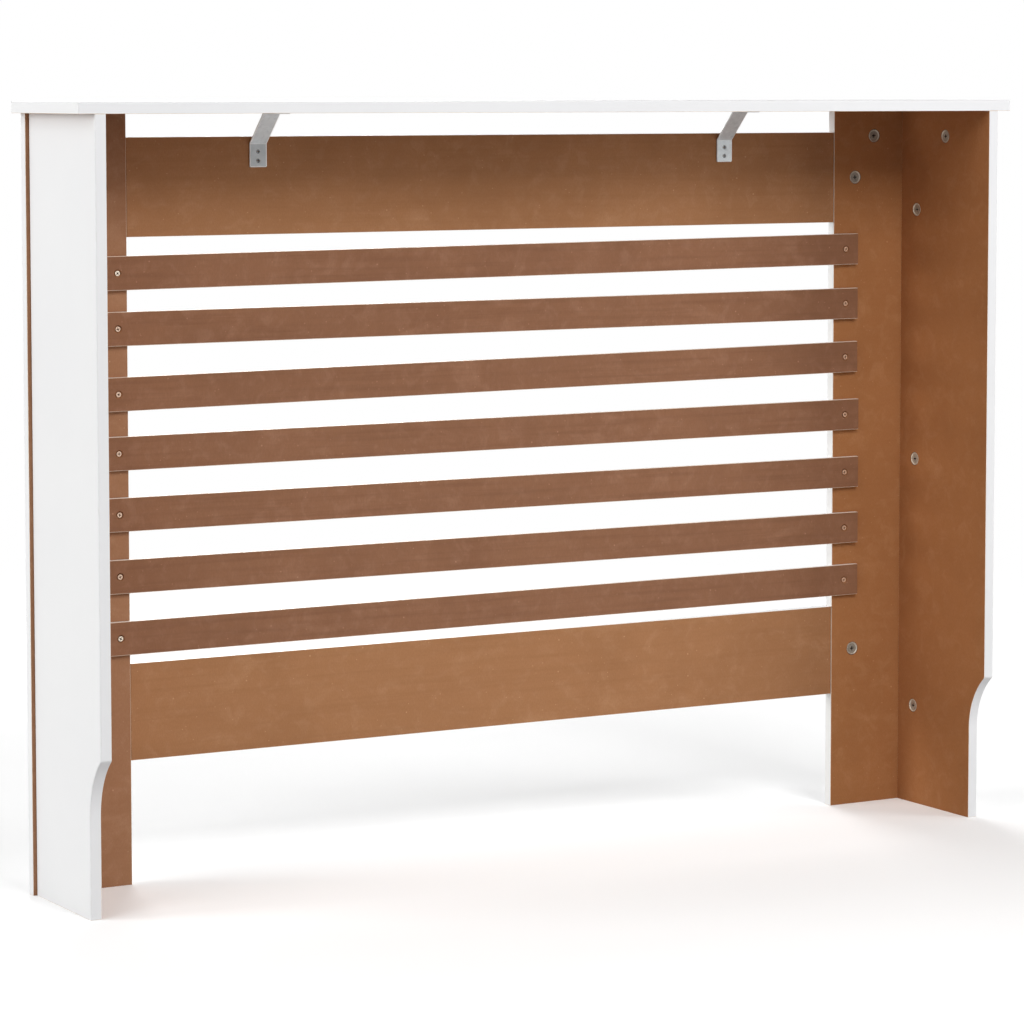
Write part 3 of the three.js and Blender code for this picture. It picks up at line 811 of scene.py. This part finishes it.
SHANK_HOLE_RADIUS = SCREW_SHANK_RADIUS + POCKET_GAP
SINK = [(0, OVERCUT), (SINK_RADIUS + 0.3 * MM, OVERCUT), (SINK_RADIUS, 0),
        (SINK_RADIUS - SINK_LIP, -0.8 * MM),
        (SHANK_HOLE_RADIUS, -SCREW_SUNK - SCREW_HEAD_HEIGHT),
        (SHANK_HOLE_RADIUS, -SINK_DEPTH), (0, -SINK_DEPTH)]


def make_slat(number):
    """A slat on its two screws: its tilt is theirs."""
    name = f"slat_{number}"
    low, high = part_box(name)
    left, right = (screw_place(number, side) for side in SIDES)
    tilt = math.atan2(right.z - left.z, right.x - left.x)
    centre = (low + high) / 2
    half = Vector((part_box("stile_right")[0].x + SLAT_LAP, 0, SLAT_HEIGHT / 2))
    bm = prism(rectangle((-half.x, -half.z), (half.x, half.z)), high.y - low.y)
    upright = (Matrix.Translation((centre.x, high.y, centre.z))
               @ Matrix.Rotation(-tilt, 4, "Y") @ Matrix.Rotation(math.pi / 2, 4, "X"))
    outward = Matrix.Rotation(-math.pi / 2, 4, "X")
    cutters = []
    for place in (left, right):
        mouth = Vector((place.x, high.y, place.z))
        cutters.append(bore_cutter(Matrix.Translation(mouth) @ outward, SINK))
    ends = [(math.cos(tilt), 0, math.sin(tilt)), (-math.cos(tilt), 0, -math.sin(tilt))]
    make_board(name, bm, upright, [(0, 1, 0), *ends], "raw_board", RAW_SLAT, cutters, SLAT_LIP)


# ------------------------------------------------------------------ fasteners

def threaded(profile, thread_from, thread_to, pitch, height, segments, name):
    """A turned piece whose stretch between two heights carries a helical thread."""
    rows_to_a_turn, sharpness = 8, 1.6
    rows = max(2, round((thread_to - thread_from) / pitch * rows_to_a_turn))
    core = next(r for r, z in profile if abs(z - thread_from) < 1e-9)
    fine = [p for p in profile if p[1] <= thread_from + 1e-9]
    fine += [(core, thread_from + (thread_to - thread_from) * i / rows) for i in range(1, rows)]
    fine += [p for p in profile if p[1] >= thread_to - 1e-9]
    mesh = turned(fine, segments, name)
    for vertex in mesh.vertices:
        x, y, z = vertex.co
        if not thread_from < z < thread_to:
            continue
        phase = (z / pitch - math.atan2(y, x) / math.tau) % 1
        fade = min(1, (z - thread_from) / pitch, (thread_to - z) / pitch)
        crest = max(0, 1 - abs(2 * phase - 1) * sharpness)
        grow = 1 + fade * height * crest / math.hypot(x, y)
        vertex.co.x *= grow
        vertex.co.y *= grow
    return mesh


def cross_cutters(across, depth):
    """A cross recess, dark inside with grime and painted shade: two tapered slots and a small cone at
    their crossing.
    """
    cutters = []
    wide = across / 2 * (1 + OVERCUT / depth / 2)
    arm = across / 9
    for turn in (0, math.pi / 2):
        bm = bmesh.new()
        corners = []
        for z, reach, half in ((OVERCUT, wide, arm * 1.15), (-depth, across / 4, arm * 0.7)):
            corners.append([bm.verts.new((x * reach, y * half, z))
                            for x, y in ((-1, -1), (1, -1), (1, 1), (-1, 1))])
        bm.faces.new(corners[0])
        bm.faces.new(corners[1])
        for i in range(4):
            j = (i + 1) % 4
            bm.faces.new((corners[0][i], corners[0][j], corners[1][j], corners[1][i]))
        mesh = mesh_of(bm, "slot")
        mesh.transform(Matrix.Rotation(turn, 4, "Z"))
        cutters.append(mesh)
    cone = [(0, OVERCUT), (across * 0.24, OVERCUT), (across * 0.2, 0),
            (across * 0.1, -depth * 0.95), (0, -depth * 1.2)]
    cutters.append(turned(cone, 24, "cone"))
    for mesh in cutters:
        mesh.materials.append(RECESS_GRIME_AND_SHADE)
    return cutters


def ring_cutter(centre, inner, outer, start, end, half_height):
    outline = list(arc((centre, 0), outer, start, end, 28))
    outline += arc((centre, 0), inner, end, start, 28)
    mesh = mesh_of(prism(outline, 2 * half_height), "track")
    mesh.transform(Matrix.Translation((0, 0, BOLT_LINE - half_height)))
    return mesh


def make_cam_mesh():
    """The cam drum: a thin rim, a sloping wall down to the face, a cross recess, a pointer, and
    the bolt's track."""
    r = CAM_RADIUS
    profile = [(0, -CAM_HEIGHT), (r - CAM_CHAMFER, -CAM_HEIGHT), (r, CAM_CHAMFER - CAM_HEIGHT),
               (r, -0.3 * MM), (r - 0.3 * MM, 0), (r - CAM_RIM, 0),
               (r - CAM_RIM - CAM_WALL, -CAM_SUNK), (0, -CAM_SUNK)]
    drum = turned(profile, 64, "cam")
    drum.materials.append(CAST)
    head_start = CAM_CORE + CAM_PULL + POCKET_GAP
    neck_start = head_start + BOLT_HEAD_LENGTH
    outer = math.hypot(neck_start - CAM_PULL, BOLT_HEAD_RADIUS) + TRACK_GAP
    head_gap = BOLT_HEAD_RADIUS + POCKET_GAP
    start = -math.degrees(math.atan2(head_gap, head_start - CAM_PULL))
    way = Matrix.Rotation(math.radians(CAM_TURN), 4, "Z")
    entry = turned([(0, head_start), (head_gap, head_start), (head_gap, 9 * MM), (0, 9 * MM)],
                   32, "entry")
    entry.transform(Matrix.Translation((0, 0, BOLT_LINE)) @ way @ Matrix.Rotation(
        math.pi / 2, 4, "Y"))
    cutters = [
        ring_cutter(CAM_PULL, CAM_CORE, outer, start, CAM_TURN, head_gap),
        ring_cutter(0, CAM_CORE + CAM_PULL, r + OVERCUT, start, CAM_TURN,
                    BOLT_NECK_RADIUS + POCKET_GAP),
        entry]
    for mesh in cutters:
        mesh.materials.append(RECESS_GRIME_AND_SHADE)
    tail = r - CAM_POINTER
    pointer = prism([(r + OVERCUT, 0), (tail, CAM_POINTER_HALF), (tail, -CAM_POINTER_HALF)],
                    2 * OVERCUT)
    pointer = mesh_of(pointer, "pointer")
    pointer.transform(Matrix.Translation((0, 0, -CAM_POINTER_DEPTH)))
    pointer.materials.append(CAST)
    return cut(drum, [*cutters, pointer, *cross_cutters(CAM_CROSS, CAM_CROSS_DEPTH)])


def make_bolt_mesh():
    """The connecting bolt, along Z from the cam's middle: head, neck, shank and thread."""
    head_start = CAM_CORE + CAM_PULL + POCKET_GAP
    neck_start = head_start + BOLT_HEAD_LENGTH
    shank_start = CAM_RADIUS + 2 * POCKET_GAP
    end = CAM_SETBACK + BOLT_THREAD_LENGTH
    chamfer = BOLT_CHAMFER
    core = BOLT_THREAD_RADIUS - BOLT_THREAD_DEPTH
    thread = (CAM_SETBACK + 0.1 * MM, end - 1 * MM)
    profile = [
        (0, head_start), (BOLT_HEAD_RADIUS - chamfer, head_start),
        (BOLT_HEAD_RADIUS, head_start + chamfer), (BOLT_HEAD_RADIUS, neck_start - 0.2 * MM),
        (BOLT_HEAD_RADIUS - 0.2 * MM, neck_start), (BOLT_NECK_RADIUS, neck_start),
        (BOLT_NECK_RADIUS, shank_start), (BOLT_SHANK_RADIUS - chamfer, shank_start),
        (BOLT_SHANK_RADIUS, shank_start + chamfer), (BOLT_SHANK_RADIUS, CAM_SETBACK - chamfer),
        (BOLT_SHANK_RADIUS - chamfer, CAM_SETBACK), (core, thread[0]),
        (core, thread[1]), (core * 0.6, end), (0, end)]
    return threaded(profile, *thread, BOLT_PITCH, BOLT_THREAD_DEPTH, 32, "bolt")


def make_screw_mesh(name, head_radius, shank_radius, head_height, length, recess, metal):
    """A countersunk screw, head's top at the origin and point down -Z."""
    core = shank_radius * 0.72
    thread = (SCREW_POINT - length, -head_height - 1 * MM)
    profile = [
        (0, -length), (core, thread[0]), (core, thread[1]),
        (shank_radius * 0.9, -head_height), (head_radius - 0.15 * MM, -0.45 * MM),
        (head_radius, -0.3 * MM), (head_radius - 0.2 * MM, -0.03 * MM),
        (head_radius * 0.6, 0), (0, 0)]
    mesh = threaded(profile, *thread, SCREW_PITCH, shank_radius - core, 32, name)
    mesh.materials.append(metal)
    return cut(mesh, cross_cutters(recess, SCREW_CROSS_DEPTH))


def make_fittings():
    cam, bolt = make_cam_mesh(), make_bolt_mesh()
    for name, matrix in FITTINGS.items():
        drum = placed(cam, matrix, "cam")
        # cams that face the wall side take the darker copy of the cast zinc: painted shade
        if matrix.col[2].y > 0.5:
            drum.materials[0] = SHADED_STILE_CAST
        piece(f"cam_{name}_cast", drum, [], ["cam_" + name])
        along = matrix @ Matrix.Translation((0, 0, BOLT_LINE)) @ Matrix.Rotation(
            math.pi / 2, 4, "Y")
        piece(f"bolt_{name}_turned", placed(bolt, along, "bolt"), [ZINC],
              ["bolt_" + name])


def placed(mesh, matrix, name, dulling=0.0):
    """A copy of a mesh in its place, with the dulling that its metal reads."""
    copy = mesh.copy()
    copy.name = name
    copy.transform(matrix)
    if dulling:
        layer = copy.attributes.new("dulling", "FLOAT", "POINT")
        layer.data.foreach_set("value", [dulling] * len(copy.vertices))
    return copy


def slat_screw_dulling(number, side):
    """The outermost screws of one stile still shine; those of the other stile are dull."""
    if side == "left":
        return 0.95
    return 0.1 if number in (SLATS[0], SLATS[-1]) else 0.6


def make_slat_screws():
    shape = make_screw_mesh("slat_screw", SCREW_HEAD_RADIUS, SCREW_SHANK_RADIUS,
                            SCREW_HEAD_HEIGHT, SCREW_LENGTH, SCREW_CROSS, SCREW)
    turns = random.Random(7)
    for number in SLATS:
        for side in SIDES:
            name = f"slat_screw_{number}_{side}"
            matrix = (Matrix.Translation(screw_place(number, side))
                      @ Matrix.Rotation(-math.pi / 2, 4, "X")
                      @ Matrix.Rotation(turns.uniform(0, math.pi), 4, "Z"))
            driven = placed(shape, matrix, name, slat_screw_dulling(number, side))
            piece(name + "_driven", driven, [], [name])


# ------------------------------------------------------------------ brackets

def strip_path():
    """The bracket's path from the side, from the foot of the rail flange to the far end of the
    top one: each stretch's length, and the angle that it turns by."""
    slope = math.atan2(BRACKET_DROP, BRACKET_REACH)
    first, second = math.pi / 2 - slope, slope
    trims = [BRACKET_BEND * math.tan(bend / 2) for bend in (first, second)]
    rise = math.hypot(BRACKET_DROP, BRACKET_REACH)
    return [(BRACKET_FLANGE - trims[0], 0), (BRACKET_BEND * first, first),
            (rise - sum(trims), 0), (BRACKET_BEND * second, second),
            (BRACKET_FLANGE - trims[1], 0)]


def bend_strip(point):
    """A point of the flat strip (along, across, deep) on the bent one (across, out, up)."""
    s, across, deep = point
    y = z = 0.0
    heading = math.pi / 2
    for stretch, turn in strip_path():
        step = min(s, stretch) if (stretch, turn) != strip_path()[-1] else s
        if turn:
            part = turn * step / stretch
            centre = (y + BRACKET_BEND * math.sin(heading), z - BRACKET_BEND * math.cos(heading))
            heading -= part
            y = centre[0] - BRACKET_BEND * math.sin(heading)
            z = centre[1] + BRACKET_BEND * math.cos(heading)
        else:
            y += step * math.cos(heading)
            z += step * math.sin(heading)
        s -= step
        if s <= 0:
            break
    return (across, y + deep * math.sin(heading), z - deep * math.cos(heading))


def paint_bend_highlight(strip, start):
    """Marks a line across a flat strip, at the foot of a bend, for a painted highlight where the bend
    catches the light.
    """
    marks = strip.attributes["arris"].data
    for face in strip.polygons:
        if start < face.center.x < start + BRACKET_HIGHLIGHT_BAND:
            for loop in face.loop_indices:
                marks[loop].value = 1.0


def darken_flange(strip, end, amount):
    """Mixes a flat strip to a darker grey up to the end of its rail flange."""
    marks = strip.attributes.new("dulling", "FLOAT", "POINT").data
    for vertex in strip.vertices:
        if vertex.co.x < end:
            marks[vertex.index].value = amount


def make_bracket(side):
    """A strip with round corners and countersunk holes, bent twice, and its four screws."""
    name = "bracket_" + side
    low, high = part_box(name)
    half = (high.x - low.x) / 2
    total = sum(stretch for stretch, _ in strip_path())
    r = BRACKET_CORNER
    outline = [*arc((r, r - half), r, 180, 270, 6), *arc((total - r, r - half), r, 270, 360, 6),
               *arc((total - r, half - r), r, 0, 90, 6), *arc((r, half - r), r, 90, 180, 6)]
    bm = prism(outline, BRACKET_THICKNESS)
    # a band round each broad face is marked for a painted highlight along the edges
    mark = bm.loops.layers.float.new("arris")
    faces = [face for face in bm.faces if abs(face.normal.z) > 0.9]
    for face in bmesh.ops.inset_individual(bm, faces=faces, thickness=BRACKET_HIGHLIGHT_BAND)["faces"]:
        for loop in face.loops:
            loop[mark] = 1.0
    round_edges(bm, BRACKET_ROUND, 2)
    start = 0
    for stretch, turn in strip_path():
        cuts = 8 if turn else 1
        for i in range(cuts):
            bmesh.ops.bisect_plane(bm, geom=bm.verts[:] + bm.edges[:] + bm.faces[:],
                                   plane_co=(start + stretch * i / cuts, 0, 0),
                                   plane_no=(1, 0, 0))
        start += stretch
    flat = mesh_of(bm, name)
    pair = BRACKET_FLANGE / 2 - BRACKET_HOLE_SHIFT
    spots = [pair - BRACKET_SCREW_SPACING / 2, pair + BRACKET_SCREW_SPACING / 2]
    spots += [total - spot for spot in spots]
    mouth = BRACKET_SCREW_RADIUS + 0.25 * MM
    hole = [(0, -OVERCUT), (BRACKET_HOLE_RADIUS, -OVERCUT), (BRACKET_HOLE_RADIUS, 0.4 * MM),
            (mouth, BRACKET_THICKNESS + 0.1 * MM), (mouth, 2 * BRACKET_THICKNESS),
            (0, 2 * BRACKET_THICKNESS)]
    holes = []
    for spot in spots:
        mesh = turned(hole, 32, "hole")
        mesh.transform(Matrix.Translation((spot, 0, 0)))
        holes.append(mesh)
    for mesh in (flat, *holes):
        mesh.materials.append(ZINC)
    strip = cut(flat, holes)
    paint_bend_highlight(strip, strip_path()[0][0])
    darken_flange(strip, strip_path()[0][0] + 0.5 * BRACKET_HIGHLIGHT_BAND, FLANGE_DARKENING[side])
    for vertex in strip.vertices:
        vertex.co = bend_strip(vertex.co)
    strip.transform(Matrix.Translation(((low.x + high.x) / 2, low.y, low.z)))
    strip.flip_normals()
    piece(name + "_pressed", strip, [], [name])
    shape = make_screw_mesh("bracket_screw", BRACKET_SCREW_RADIUS, BRACKET_SCREW_SHANK,
                            BRACKET_SCREW_HEAD, BRACKET_SCREW_LENGTH, BRACKET_SCREW_CROSS, STEEL)
    turns = random.Random(11)
    for number, spot in enumerate(spots, 1):
        seat = Vector(bend_strip((spot, 0, BRACKET_THICKNESS)))
        base = Vector(bend_strip((spot, 0, 0)))
        out = (seat - base).normalized()
        place = seat + Vector(((low.x + high.x) / 2, low.y, low.z)) - out * BRACKET_SCREW_SUNK
        matrix = (Matrix.Translation(place) @ out.to_track_quat("Z", "Y").to_matrix().to_4x4()
                  @ Matrix.Rotation(turns.uniform(0, math.pi), 4, "Z"))
        piece(f"{name}_screw_{number}", placed(shape, matrix, "bracket_screw"), [])


# ------------------------------------------------------------------ studio

def background_rays(tree):
    """A mask of the rays that show the background: from the camera, and off gloss or glass."""
    rays = add(tree, "ShaderNodeLightPath").outputs
    mask = calc(tree, "MAXIMUM", rays["Is Camera Ray"], rays["Is Glossy Ray"])
    return calc(tree, "MAXIMUM", mask, rays["Is Transmission Ray"])


def make_floor():
    """A pale floor that keeps the cabinet's shadow and fades into the white background."""
    bm = bmesh.new()
    bmesh.ops.create_circle(bm, cap_ends=True, segments=96, radius=FLOOR_RADIUS)
    floor = bpy.data.objects.new("studio_floor", mesh_of(bm, "studio_floor"))
    bpy.context.scene.collection.objects.link(floor)
    material = bpy.data.materials.new("studio_floor")
    material.use_nodes = True
    tree = material.node_tree
    shader = tree.nodes["Principled BSDF"]
    shader.inputs["Roughness"].default_value = 0.9
    shader.inputs["Specular IOR Level"].default_value = 0.0
    seen = background_rays(tree)
    colour = blend_colours(tree, seen, grey(FLOOR_BOUNCE), grey(FLOOR_SEEN))
    tree.links.new(colour, shader.inputs["Base Color"])
    glow = blend_colours(tree, seen, grey(0), grey(FLOOR_GLOW))
    tree.links.new(glow, shader.inputs["Emission Color"])
    shader.inputs["Emission Strength"].default_value = 1.0
    place = add(tree, "ShaderNodeTexCoord").outputs["Object"]
    reach = add(tree, "ShaderNodeVectorMath", {0: place}, operation="LENGTH").outputs["Value"]
    fade = ramp(tree, reach, FLOOR_FADE, FLOOR_RADIUS, 1.0, 0.0)
    tree.links.new(fade, shader.inputs["Alpha"])
    floor.data.materials.append(material)


def make_lights():
    world = bpy.data.worlds.new("studio")
    bpy.context.scene.world = world
    world.use_nodes = True
    tree = world.node_tree
    fill = tree.nodes["Background"]
    fill.inputs["Color"].default_value = grey(1)
    fill.inputs["Strength"].default_value = WORLD_FILL
    white = add(tree, "ShaderNodeBackground", {"Color": grey(1), "Strength": 1.0})
    mix = add(tree, "ShaderNodeMixShader", {
        0: background_rays(tree), 1: fill.outputs[0], 2: white.outputs[0]})
    tree.links.new(mix.outputs[0], tree.nodes["World Output"].inputs["Surface"])
    for name, (turn, rise, size, strength) in SOFTBOXES.items():
        softbox(name, math.radians(turn), math.radians(rise), size, strength)


def softbox(name, turn, rise, size, strength):
    light = bpy.data.lights.new(name, "AREA")
    light.shape = "SQUARE"
    light.size = size
    light.energy = strength * (math.pi * LAMP_DISTANCE) ** 2
    lamp = bpy.data.objects.new(name, light)
    away = Vector((math.sin(turn) * math.cos(rise), math.cos(turn) * math.cos(rise),
                   math.sin(rise)))
    lamp.location = LAMP_TARGET + away * LAMP_DISTANCE
    lamp.rotation_euler = (-away).to_track_quat("-Z", "Y").to_euler()
    bpy.context.scene.collection.objects.link(lamp)


def make_camera():
    camera = bpy.data.cameras.new("camera")
    camera.lens = CAMERA_LENS
    camera.sensor_width = 36
    camera.shift_x, camera.shift_y = CAMERA_SHIFT
    eye = bpy.data.objects.new("camera", camera)
    eye.location = CAMERA_PLACE
    eye.rotation_euler = (math.pi / 2 - CAMERA_PITCH, 0, math.pi - CAMERA_YAW)
    bpy.context.scene.collection.objects.link(eye)
    bpy.context.scene.camera = eye


# ------------------------------------------------------------------ the scene

make_camera()
make_floor()
make_lights()
bpy.context.scene.view_settings.view_transform = "Standard"

make_top_board()
for each_side in SIDES:
    make_side_panel(each_side)
    make_stile(each_side)
    make_bracket(each_side)
for each_rail in ("top_rail", "bottom_rail"):
    make_rail(each_rail)
for each_slat in SLATS:
    make_slat(each_slat)
make_slat_screws()
make_fittings()
